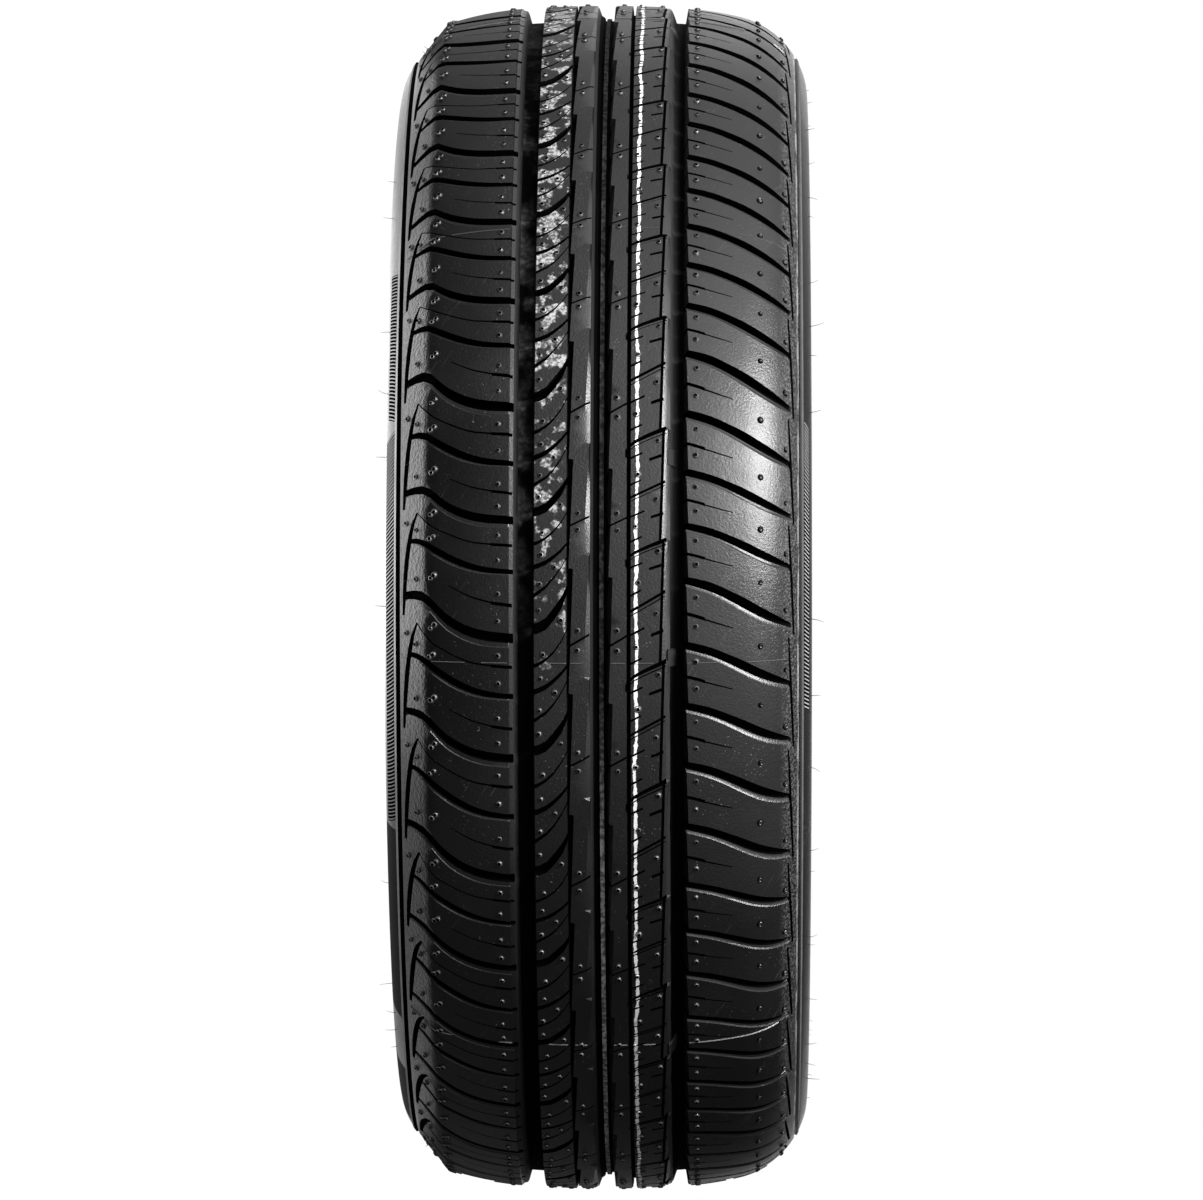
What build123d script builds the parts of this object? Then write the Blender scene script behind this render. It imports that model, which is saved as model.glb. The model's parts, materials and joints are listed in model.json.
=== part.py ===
import os
from math import asin, atan2, cos, degrees, radians, sin

from build123d import *

os.makedirs("parts", exist_ok=True)

# Car tyre moulded in one piece: the axle runs along Z and the origin is the tyre's centre.
# Millimetres; left and right are towards -Z and +Z.

# Casing
outer_radius = 316.0
half_section = 107.0  # half the width across the sidewalls
bead_seat_radius = 202.8  # seat of a 16 inch rim
half_rim = 82.5  # half the width between the rim's flanges
bead_width = 20.5
heel_chamfer = 5.0

# Outer section; angles are measured from the axle's direction
crown_drops = ((0.25, 15.7), (1.6, 44.0), (4.8, 66.0))  # drop from the crown and place along the axle
shoulder_arc_radius = 47.5
shoulder_end_angle = 87.0
lower_side_angle = 63.0  # where the lower sidewall straightens towards the rim's flange

# Inner liner
crown_thickness = 14.8
liner_arc_radius = 650.0
liner_half_width = 58.0
liner_shoulder_radius = 40.0
liner_side_angle = 80.0
sidewall_thickness = 8.5

# Grooves round the tread: top left, floor left, floor right and top right edges along the axle
groove_depth = 8.2
narrow_groove_depth = 5.2
main_grooves = ((-44.0, -40.0, -32.2, -31.0), (-5.2, -1.2, 5.2, 6.6), (32.4, 35.2, 43.4, 44.8))
narrow_grooves = ((-15.0, -14.6, -13.0, -12.6), (14.5, 14.9, 16.5, 16.9))

# Slots across the tread: place along the axle, share of the pitch, half the width round the tyre
right_slot = ((42, 0, 2.2), (58, 0.12, 2.7), (73, 0.35, 3.2), (87, 0.54, 1.6), (95.5, 0.63, 0.3))
left_slot = (
    (-42, 0.87, 2.2), (-58, 0.83, 2.5), (-70, 0.69, 2.8),
    (-80, 0.44, 3), (-88, 0.24, 2.5), (-95.5, 0.22, 2.2),
)
left_fine_slot = (
    (-42, 0.84, 0.9), (-58, 0.78, 1.3), (-70, 0.62, 2.2),
    (-80, 0.43, 2.4), (-87, 0.25, 2.1), (-94, 0.2, 1.3),
)
hook_slot = ((-33, 0.74, 2), (-25.6, 0.66, 2.3), (-19.6, 0.44, 2.3), (-15.5, 0.2, 1.8), (-13.8, 0.06, 1.5))
inner_rib_slot = ((-33, 0.76, 1), (-26, 0.68, 1), (-20.3, 0.53, 0.9), (-14, 0.3, 0.7))
outer_rib_slot = ((14.6, 0.57, 1.2), (24, 0.38, 1.1), (34, 0.22, 1.1))
outer_rib_fine_slot = ((14.6, 0.59, 0.8), (24, 0.37, 0.8), (34, 0.17, 0.8))
rib_slot_depth = 6.6
shoulder_slot_drops = ((7.8, 40), (12.6, 73), (23.6, 97))  # the floor's drop from the crown, and place
cutter_clearance = 4.0  # how far a cutter stands clear of the tread

# Pitches round the tyre: four lengths in a mixed order, against tone
pitch_angles = {"a": 4.4, "b": 4.9, "c": 5.5, "d": 5.9}
pitch_order = "ccdbbaaaabdcbbdccddbbcabbbd" "bcabdcbabdbcabdbcbacdbabcdbacbdabcdbabcdbca"
first_pitch_angle = -161.9

pitch_scale = 360 / sum(pitch_angles[letter] for letter in pitch_order)
pitch_starts = []
next_start = first_pitch_angle
for letter in pitch_order:
    pitch_starts.append(next_start)
    next_start += pitch_angles[letter] * pitch_scale
cutter_radius = outer_radius + cutter_clearance


def half_section_outline():
    """One side of the tyre's middle, from the outer crown round the bead to the inner crown."""
    ribs = [(outer_radius - drop, place) for drop, place in crown_drops]
    crown = Polyline((outer_radius, 0), *ribs)
    slope = degrees(atan2(ribs[-2][0] - ribs[-1][0], ribs[-1][1] - ribs[-2][1]))
    shoulder = JernArc(crown @ 1, crown % 1, shoulder_arc_radius, shoulder_end_angle - slope)
    upper_side_radius = (half_section - (shoulder @ 1).Y) / (1 - sin(radians(shoulder_end_angle)))
    upper_side = JernArc(shoulder @ 1, shoulder % 1, upper_side_radius, 90 - shoulder_end_angle)

    # The lower sidewall turns in on one arc and runs straight to the flange's edge
    widest = upper_side @ 1
    flange_edge = (bead_seat_radius + heel_chamfer, half_rim)
    turn = radians(lower_side_angle)
    fall = (widest.X - flange_edge[0]) * sin(turn) - (widest.Y - flange_edge[1]) * cos(turn)
    lower_side = JernArc(upper_side @ 1, upper_side % 1, fall / (1 - cos(turn)), lower_side_angle)

    heel = (bead_seat_radius, half_rim - heel_chamfer)
    toe = (bead_seat_radius, half_rim - bead_width)
    liner_waist = (widest.X, half_section - sidewall_thickness)
    liner_angle = degrees(asin(liner_half_width / liner_arc_radius))
    liner_start = (outer_radius - crown_thickness, 0)
    liner_crown = JernArc(liner_start, (0, 1), liner_arc_radius, liner_angle)
    liner_turn = liner_side_angle - liner_angle
    liner_shoulder = JernArc(liner_crown @ 1, liner_crown % 1, liner_shoulder_radius, liner_turn)
    Polyline(lower_side @ 1, flange_edge, heel, toe, liner_waist, liner_shoulder @ 1)


def groove_outline(edges, depth):
    """A groove's sloped walls and flat floor, carried on past the tread's surface."""
    top_left, floor_left, floor_right, top_right = edges
    lift = cutter_clearance / depth
    floor_radius = outer_radius - depth
    return (
        (cutter_radius, top_left - (floor_left - top_left) * lift),
        (floor_radius, floor_left),
        (floor_radius, floor_right),
        (cutter_radius, top_right + (top_right - floor_right) * lift),
    )


def slot_side(path, pitch_length, side):
    return Spline([(share * pitch_length + side * half_width, place) for place, share, half_width in path])


def slot_floor(drops):
    points = [(outer_radius - drop, place) for drop, place in drops]
    return ThreePointArc(*points) if len(points) == 3 else Line(*points)


def slot_cutter(path, letter, drops):
    """One slot beside the X axis, as deep as a floor drawn in the tyre's section."""
    pitch_length = outer_radius * radians(pitch_angles[letter] * pitch_scale)
    with BuildPart() as cutter:
        with BuildSketch(Plane.YZ):
            with BuildLine():
                lower = slot_side(path, pitch_length, -1)
                upper = slot_side(path, pitch_length, 1)
                Line(lower @ 0, upper @ 0)
                Line(lower @ 1, upper @ 1)
            make_face()
        extrude(amount=cutter_radius)
        with BuildSketch(Plane.XZ):
            with BuildLine():
                floor = slot_floor(drops)
                Polyline(floor @ 1, (cutter_radius, (floor @ 1).Y), (cutter_radius, (floor @ 0).Y), floor @ 0)
            make_face()
        extrude(amount=pitch_length * 2, both=True, mode=Mode.INTERSECT)
    return cutter.part


def pitch_places(letter, halves):
    """Turns about the axle to the pitches of one length, in the even or odd halves of the pattern."""
    return [
        Location((0, 0, 0), (0, 0, start))
        for index, start in enumerate(pitch_starts)
        if pitch_order[index] == letter and index % 2 in halves
    ]


grooves = [(edges, groove_depth) for edges in main_grooves]
grooves += [(edges, narrow_groove_depth) for edges in narrow_grooves]

rib_drops = ((rib_slot_depth, -half_rim), (rib_slot_depth, half_rim))
left_shoulder_drops = [(drop, -place) for drop, place in shoulder_slot_drops]
slots = (
    (right_slot, shoulder_slot_drops, (0, 1)),
    (left_slot, left_shoulder_drops, (0,)),
    (left_fine_slot, left_shoulder_drops, (1,)),
    (hook_slot, rib_drops, (0,)),
    (inner_rib_slot, rib_drops, (1,)),
    (outer_rib_slot, rib_drops, (1,)),
    (outer_rib_fine_slot, rib_drops, (0,)),
)
cutters = []
for path, drops, halves in slots:
    for letter in pitch_angles:
        cutter = slot_cutter(path, letter, drops)
        cutters += [cutter.moved(place) for place in pitch_places(letter, halves)]

with BuildPart() as tyre:
    with BuildSketch(Plane.XZ):
        with BuildLine():
            half_section_outline()
            mirror(about=Plane.XZ)
        make_face()
        for edges, depth in grooves:
            with BuildLine():
                Polyline(*groove_outline(edges, depth), close=True)
            make_face(mode=Mode.SUBTRACT)
    revolve(axis=Axis.Z)
    add(cutters, mode=Mode.SUBTRACT)

tyre.part.label = "tyre"
export_step(tyre.part, "parts/tyre.step", write_pcurves=False)
print("tyre:", len(tyre.part.solids()), "solid,", round(tyre.part.volume / 1e6, 3), "litres")
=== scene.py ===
import json
import math

import bmesh
import bpy
import numpy as np
from mathutils import Matrix, Vector, geometry


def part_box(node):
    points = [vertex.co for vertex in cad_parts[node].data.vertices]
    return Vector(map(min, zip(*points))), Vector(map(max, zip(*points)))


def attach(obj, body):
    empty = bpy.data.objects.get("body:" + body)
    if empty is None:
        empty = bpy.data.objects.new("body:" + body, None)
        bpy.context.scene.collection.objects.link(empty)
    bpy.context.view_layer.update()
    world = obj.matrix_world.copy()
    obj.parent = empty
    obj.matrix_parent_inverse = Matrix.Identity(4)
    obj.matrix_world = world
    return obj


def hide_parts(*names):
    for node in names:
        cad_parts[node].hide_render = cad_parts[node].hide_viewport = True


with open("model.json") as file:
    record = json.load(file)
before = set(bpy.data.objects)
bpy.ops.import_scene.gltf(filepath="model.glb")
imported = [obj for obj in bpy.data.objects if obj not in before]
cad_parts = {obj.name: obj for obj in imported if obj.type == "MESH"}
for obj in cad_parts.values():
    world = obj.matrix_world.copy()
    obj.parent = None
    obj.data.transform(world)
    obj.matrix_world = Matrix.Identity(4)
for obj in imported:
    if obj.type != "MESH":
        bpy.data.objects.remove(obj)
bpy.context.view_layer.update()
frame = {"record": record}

scene = bpy.context.scene
mm = 0.001
tiny = 1e-6
axle = Vector((0, 0, 1))

# The tyre lies on its side: the axle is Z, the camera looks along +Y, and the photo's upward is -X.
tyreLow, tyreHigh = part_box("tyre")
tyreRadius = tyreHigh[0] / mm
halfSection = tyreHigh[2] / mm
beadRadius = frame["record"]["mounts"][0]["dims"]["r_mm"]


# Section of the rubber, lengths in mm. Each side's arcs: radius, from and to, across the tread
section = {
    "leftArcs": ((600, 0, 44), (165, 44, 82.7), (4, 82.7, 84.6), (1e5, 84.6, 101.3)),
    "rightArcs": ((600, 0, 44), (165, 44, 72), (47.2, 72, 105.3)),
    "treadEdge": 98.3,
    "sideSteps": (3.3, 2.6, 1.9, 1.3, 0.7, 0.3, 0.1, 0),  # in from the widest place
    "widestRadius": 250.3,
    "lowerTurn": 63,
    "halfRim": 82.5,
    "beadWidth": 20.5,
    "heel": 5,
    "toe": ((0, 2.5), (0.6, 0.7), (2.2, 0.2)),  # above the bead's seat, and along from its inner end
    "crownThickness": 14.8,
    "linerArc": 650,
    "linerHalf": 58,
    "linerShoulder": 40,
    "linerSideAngle": 80,
    "sidewall": 8.5,
    "rows": {"lower": 11, "heel": 6, "crown": 5, "bend": 8},
}


def sideSurface(away, arcs):
    sine = np.zeros_like(away)
    drop = np.zeros_like(away)
    edgeSine = sum((end - start) / radius for radius, start, end in arcs)
    sideStart = arcs[-1][2]
    sideArc = ((halfSection - sideStart) / (1 - edgeSine), sideStart, halfSection)
    for radius, start, end in (*arcs, sideArc):
        after = np.minimum(sine + (np.clip(away, start, end) - start) / radius, 1)
        drop = drop + radius * (np.sqrt(1 - sine**2) - np.sqrt(1 - after**2))
        sine = after
    return np.array((tyreRadius - drop, np.sqrt(1 - sine**2), sine))


def treadSurface(place):
    # Radius, and the outward direction's radial and axial shares
    place = np.asarray(place, float)
    left = sideSurface(np.abs(place), section["leftArcs"])
    right = sideSurface(np.abs(place), section["rightArcs"])
    radius, out, along = np.where(place < 0, left, right)
    return radius, out, np.sign(place) * along


# Pitches of the tread pattern: two make one repeat of all its cuts
pitch = {
    "degrees": {"a": 4.4, "b": 4.9, "c": 5.5, "d": 5.9},
    "order": "ccdbbaaaabdcbbdccddbbcabbbd" "bcabdcbabdbcabdbcbacdbabcdbacbdabcdbabcdbca",
    "firstAngle": -161.9,
    "length": 28.5,
}
pitchSizes = np.array([pitch["degrees"][letter] for letter in pitch["order"]])
pitchEnds = np.concatenate(([0], np.cumsum(pitchSizes))) * 360 / pitchSizes.sum()
pitchAngles = np.radians(pitch["firstAngle"] + pitchEnds)
repeatCount = len(pitchSizes) // 2


def pitchAngle(count):
    return np.interp(count, np.arange(len(pitchAngles)), pitchAngles)


# Saw-toothed edges of the ribs, as (pitch, place across) steps
sawTeeth = {
    "ribThreeLeft": ((-0.23, -13.9), (-0.215, -11.7), (1.77, -13.9)),
    "ribThreeRight": ((-0.45, -3.9), (1.54, -6.8), (1.55, -3.9)),
    "ribFourLeft": ((-0.07, 5.9), (-0.055, 7.9), (1.93, 5.9)),
    "ribFourRight": ((-0.24, 14.7), (1.6, 14.6), (1.62, 13.9), (1.74, 13.9), (1.76, 14.7)),
    "ribFiveRight": ((-0.75, 32.2), (-0.735, 33.9), (1.25, 32.2)),
    "rightShoulder": ((0, 45.4), (0.06, 44.3), (1, 45.4), (1.06, 44.3), (2, 45.4)),
}
# Grooves round the tyre: (place, depth) across each, or (an edge's name, shift, depth)
grooves = (
    (
        (-44, 0), (-43.5, 0.9), (-41.7, 1.4), (-41.2, 2.2), (-39.9, 8.2), (-32.3, 8.2), (-31.3, 0.5),
        (-31, 0),
    ),
    ((-15.05, 0), (-14.6, 5), ("ribThreeLeft", -0.4, 5), ("ribThreeLeft", 0, 0)),
    (
        ("ribThreeRight", 0, 0), (-3.4, 1.1), (-1.9, 5.2), (-0.2, 6.4), (0.1, 8.2), (0.9, 8.2), (1.2, 7),
        (3.3, 7), (3.6, 8.2), (4.9, 8.2), ("ribFourLeft", -0.3, 0.5), ("ribFourLeft", 0, 0),
    ),
    (("ribFourRight", 0, 0), ("ribFourRight", 0.4, 5), (16.4, 5), (16.8, 0)),
    (
        ("ribFiveRight", -1.6, 0), ("ribFiveRight", -1.4, 2.5), ("ribFiveRight", -0.4, 2.5),
        ("ribFiveRight", -0.1, 0.4), ("ribFiveRight", 1.2, 1), (36.4, 3), (38.6, 8.2), (43.3, 8.2),
        ("rightShoulder", -0.3, 0.5), ("rightShoulder", 0, 0),
    ),
)

# Cuts across the ribs, by the pitches they start at: (place, pitch, half width, depth) along each.
# A fifth number is the width of the sloping lower side
slots = {
    "rightShoulder": ((0, 1), "wideLip", (
        (41.5, -0.01, 2.4, 7.4, 1.2), (47, 0.03, 2.5, 7.2, 1.2), (58, 0.137, 2.8, 7, 1.4),
        (65, 0.242, 3, 6.8, 1.7), (73, 0.375, 3.4, 6.4, 2), (80, 0.5, 3.4, 5.4, 2.2),
        (87, 0.61, 3.1, 4.2, 2.2), (92, 0.68, 2.5, 3, 2), (96.2, 0.735, 1.9, 1.2, 1.6),
    )),
    "leftWide": ((0,), "thinLip", (
        (-95.3, 0.232, 2.2, 2.2, 0.8), (-87, 0.255, 2.9, 4.6, 1.2), (-82.5, 0.37, 3.4, 5.4, 1.8),
        (-77.4, 0.555, 3.6, 6, 2.2), (-70.3, 0.72, 3.6, 6.6, 2.4), (-63, 0.825, 3.5, 7, 2.4),
        (-56, 0.88, 3.5, 7, 2.4), (-48, 0.905, 3.3, 7.2, 2.2), (-41.5, 0.92, 3.2, 7.4, 2.2),
    )),
    "leftFine": ((1,), "thinLip", (
        (-93.3, 0.2, 1.4, 2.4, 0.5), (-87.4, 0.255, 2.2, 4.4, 0.8), (-82.4, 0.385, 2.6, 5.2, 1.2),
        (-77.4, 0.5, 2.7, 5.8, 1.3), (-70.3, 0.64, 2.6, 6.2, 1.3), (-63, 0.742, 2.3, 6.4, 1.1),
        (-56, 0.803, 2, 6.4, 0.9), (-48, 0.832, 1.7, 6.5, 0.7), (-41.5, 0.848, 1.6, 6.5, 0.7),
    )),
    "hook": ((0,), "plain", (
        (-33, 0.745, 2.3, 7), (-30.3, 0.73, 2.4, 7), (-25.6, 0.665, 2.6, 6.8), (-21.4, 0.51, 2.8, 6.6),
        (-17.8, 0.355, 2.7, 6.4), (-15.5, 0.2, 2.2, 6), (-13.5, 0.05, 1.6, 5.6),
    )),
    "ribTwo": ((0,), "plain", (
        (-33, 1.77, 1.3, 6.4), (-30.3, 1.74, 1.3, 6.4), (-26, 1.68, 1.3, 6.2), (-20.3, 1.53, 1.1, 6),
        (-15.3, 1.35, 0.9, 5.6), (-13.8, 1.28, 0.8, 5.4),
    )),
    "ribFiveWide": ((0,), "ledge", (
        (14.6, 1.63, 1.7, 6, 1.5), (18.3, 1.52, 1.6, 6, 1.4), (24, 1.42, 1.7, 6, 1.4),
        (34.5, 1.265, 1.9, 6.2, 1.4),
    )),
    "ribFiveFine": ((0,), "ledge", (
        (15, 0.53, 1.5, 5.5, 1.6), (18.3, 0.465, 1.5, 5.5, 1.6), (24, 0.365, 1.5, 5.5, 1.6),
        (34, 0.185, 1.5, 5.5, 1.6),
    )),
    "ribFiveShort": ((0,), "plain", ((26.7, 0.83, 0.75, 3), (33, 0.755, 0.8, 4))),
    "ribFiveShortNext": ((1,), "plain", ((25.8, 0.785, 0.75, 3), (32, 0.71, 0.8, 4))),
}
sipes = {
    "rightThick": ((0, 1), "plain", ((42, 0.49, 0.75, 4), (47, 0.52, 0.8, 4), (53.5, 0.585, 0.8, 3.6))),
    "rightThin": ((0, 1), "thin", ((53.3, 0.59, 0.4, 3), (60, 0.655, 0.36, 2.6), (67.3, 0.72, 0.25, 1.5))),
    "leftLongThick": ((0,), "plain", ((-52.5, 1.325, 0.75, 4), (-42, 1.35, 0.8, 4))),
    "leftLong": ((0,), "thin", (
        (-89.6, 0.66, 0.35, 1.6), (-86.5, 0.81, 0.4, 2), (-82.4, 0.95, 0.4, 2.2), (-76, 1.08, 0.4, 2.4),
        (-70, 1.18, 0.4, 2.6), (-63, 1.27, 0.4, 2.8), (-52.3, 1.322, 0.45, 3),
    )),
    "leftShortThick": ((0,), "plain", ((-52.5, 0.335, 0.75, 4), (-42, 0.38, 0.8, 4))),
    "leftShort": ((0,), "thin", ((-73.4, 0.07, 0.25, 1.5), (-63, 0.237, 0.36, 2.6), (-52.3, 0.33, 0.4, 3))),
    "ribTwoFirst": ((0,), "thin", (
        (-33, 1.34, 1, 4), (-30, 1.31, 0.95, 4), (-26, 1.235, 0.75, 3.5), (-20.3, 1.05, 0.65, 3),
        (-16, 0.83, 0.55, 3), (-13.8, 0.68, 0.5, 3),
    )),
    "ribTwoSecond": ((0,), "thin", (
        (-33, 2.27, 1.05, 4), (-30.5, 2.21, 1, 4), (-26, 2.115, 0.8, 3.5), (-20.3, 1.9, 0.65, 3),
        (-15.3, 1.61, 0.55, 3), (-13.8, 1.5, 0.5, 3),
    )),
    "ribThree": ((0,), "thin", ((-14.2, 1.005, 0.55, 3), (-3.6, 0.815, 0.55, 3))),
    "ribFour": ((0,), "thin", ((6, 1, 0.55, 3), (15, 0.835, 0.55, 3))),
    "ribFiveFirst": ((0,), "thin", ((15.5, 0.25, 0.6, 2.6), (21.9, 0.14, 0.5, 2))),
    "ribFiveSecond": ((0,), "thin", ((15.5, 0.845, 0.6, 2.6), (23.6, 0.715, 0.5, 2))),
    "ribFiveThird": ((1,), "thin", ((15.5, 0.305, 0.6, 2.6), (22.3, 0.19, 0.5, 2))),
    "ribFiveFourth": ((1,), "thin", ((15.5, 0.78, 0.6, 2.6), (22.6, 0.67, 0.5, 2))),
}
# Fine lines that run round the shoulders: (pitch, place, half width, depth)
shoulderLines = {
    "left": (
        (0.66, -89.4, 0.5, 2.2), (0.74, -90.6, 0.75, 2.4), (0.9, -91.9, 0.95, 2.6), (1.32, -94, 1.15, 2.6),
        (1.88, -95.5, 1.1, 2.4), (2.55, -96.5, 0.6, 1.6),
    ),
    "right": ((0.9, 95, 0.4, 1.6), (1.5, 95.8, 0.55, 1.8), (2.2, 96.7, 0.6, 1.8), (2.86, 97.5, 0.45, 1.5)),
}
cutShape = {
    "step": 4.2,
    "lineStep": 6,
    "wall": 0.5,
    "endRun": 0.3,
    "clear": 0.7,
    # Depths past which faces take the near-black painted shade
    "darkBelow": 2.2,
    "narrowBelow": 0.15,
    "lips": {"wideLip": (0.8, 0.55), "thinLip": (0.45, 0.33)},  # width and depth
    "lipMost": (0.7, 0.5),  # shares of the slope's width and of the cut's depth
    "shelfFall": 0.12,
    "ledge": (0.25, (0.6, 0.3), (0.3, 2.6)),  # depth at its top, then (in from its edge, depth)
}
# Points of one repeat of the tread: pitches round it, mm across it
tile = {
    "step": 0.25,
    "reach": (-0.3, 2.3),
    "margin": 3,
    "middle": (66, 23),  # where it ends, and how many points
    "shoulder": (72, 9),
    "looseShift": 1.3,
    "weld": 1e-5,
    "leastArea": 1e-5,
}


def smoothRun(knots, step):
    knots = np.array(knots, float)
    run = knots[:, 0]
    slopes = np.gradient(knots, run, axis=0)
    count = max(2, int(math.ceil((run[-1] - run[0]) / step)) + 1)
    at = np.linspace(run[0], run[-1], count)
    end = min(cutShape["endRun"], (run[-1] - run[0]) / 4)
    at = np.concatenate(([at[0], at[0] + end], at[1:-1], [at[-1] - end, at[-1]]))
    index = np.clip(np.searchsorted(run, at, side="right") - 1, 0, len(run) - 2)
    span = (run[index + 1] - run[index])[:, None]
    t = ((at - run[index])[:, None]) / span
    before, after = knots[index], knots[index + 1]
    out = before * (1 + 2 * t) * (1 - t) ** 2 + after * t**2 * (3 - 2 * t)
    out += span * (slopes[index] * t * (1 - t) ** 2 - slopes[index + 1] * t**2 * (1 - t))
    out[:, 0] = at
    return out


def grooveLine(entry, count):
    if len(entry) == 2:
        return np.full_like(count, entry[0])
    steps = np.array(sawTeeth[entry[0]])
    turn = np.mod(count - steps[0, 0], 2) + steps[0, 0]
    return np.interp(turn, steps[:, 0], steps[:, 1]) + entry[1]


def deepen(depth, place, start, end, high, low, share=1):
    # A floor that slopes from one depth to another between two lines
    t = (place - start) / np.maximum(end - start, tiny)
    inside = (t > -tiny) & (t < 1 + tiny)
    return np.where(inside, np.maximum(depth, (high + (low - high) * t) * share), depth)


def grooveDepth(count, place):
    depth = np.zeros_like(place)
    for lines in grooves:
        for near, far in zip(lines, lines[1:]):
            start, end = grooveLine(near, count), grooveLine(far, count)
            depth = deepen(depth, place, start, end, near[-1], far[-1])
    return depth


def cutLines(run, kind):
    # A cut's lines as (offset from its middle, depth), from its upper side to its lower
    half, deep = run[:, 2], run[:, 3]
    none = 0 * half
    if kind == "thin":
        return ((-half, none), (none, deep), (half, none))
    wall = np.minimum(cutShape["wall"], 0.5 * half)
    upper = ((-half, none), (wall - half, deep))
    if kind == "plain":
        return (*upper, (half - wall, deep), (half, none))
    slope = run[:, 4]
    if kind == "ledge":
        # A flat step below the cut, with a fine line along its foot
        top, (foot, low), (line, bottom) = cutShape["ledge"]
        step = ((half - slope, none + top), (half - foot, none + low), (half - line, none + bottom))
        return (*upper, (half - slope - wall, deep), *step, (half, none))
    wide, drop = cutShape["lips"][kind]
    mostWide, mostDeep = cutShape["lipMost"]
    lipWide = np.minimum(wide, mostWide * slope)
    lipDeep = np.minimum(drop, mostDeep * deep)
    shelf = lipDeep + cutShape["shelfFall"] * slope
    lip = ((half - slope, shelf), (half - lipWide, lipDeep), (half, none))
    return (*upper, (half - slope - wall, deep), *lip)


def cutRuns(groups):
    # Every cut as (whether it runs round the tyre, its rows, its lines)
    runs = []
    for group in groups:
        for starts, kind, knots in group.values():
            for start in starts:
                rows = [(place, (count + start) * pitch["length"], *rest) for place, count, *rest in knots]
                run = smoothRun(sorted(rows), cutShape["step"])
                runs.append((False, run, cutLines(run, kind)))
    return runs


def lineRuns():
    runs = []
    for knots in shoulderLines.values():
        rows = [(count * pitch["length"], place, half, depth) for count, place, half, depth in knots]
        run = smoothRun(rows, cutShape["lineStep"])
        runs.append((True, run, cutLines(run, "thin")))
    return runs


def repeatedRuns(runs, along, place):
    # Each cut and its repeats on both sides, with how far along and across it the places lie
    repeat = 2 * pitch["length"]
    for around, run, lines in runs:
        for shift in (-repeat, 0, repeat):
            s, across = (along - shift, place) if around else (place, along - shift)
            yield run, lines, s, across


def cutDepth(runs, along, place):
    depth = np.zeros_like(place)
    for run, lines, s, across in repeatedRuns(runs, along, place):
        offset = across - np.interp(s, run[:, 0], run[:, 1])
        ends = np.clip(np.minimum(s - run[0, 0], run[-1, 0] - s) / cutShape["endRun"], 0, 1)
        for near, far in zip(lines, lines[1:]):
            start, high, end, low = (np.interp(s, run[:, 0], values) for values in (*near, *far))
            depth = deepen(depth, offset, start, end, high, low, ends)
    return depth


def nearCut(runs, along, place, grow):
    near = np.zeros(len(place), bool)
    for run, _, s, across in repeatedRuns(runs, along, place):
        middle, half = (np.interp(s, run[:, 0], run[:, column]) for column in (1, 2))
        within = (s > run[0, 0] - grow) & (s < run[-1, 0] + grow)
        near |= within & (np.abs(across - middle) < half + grow)
    return near


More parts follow.
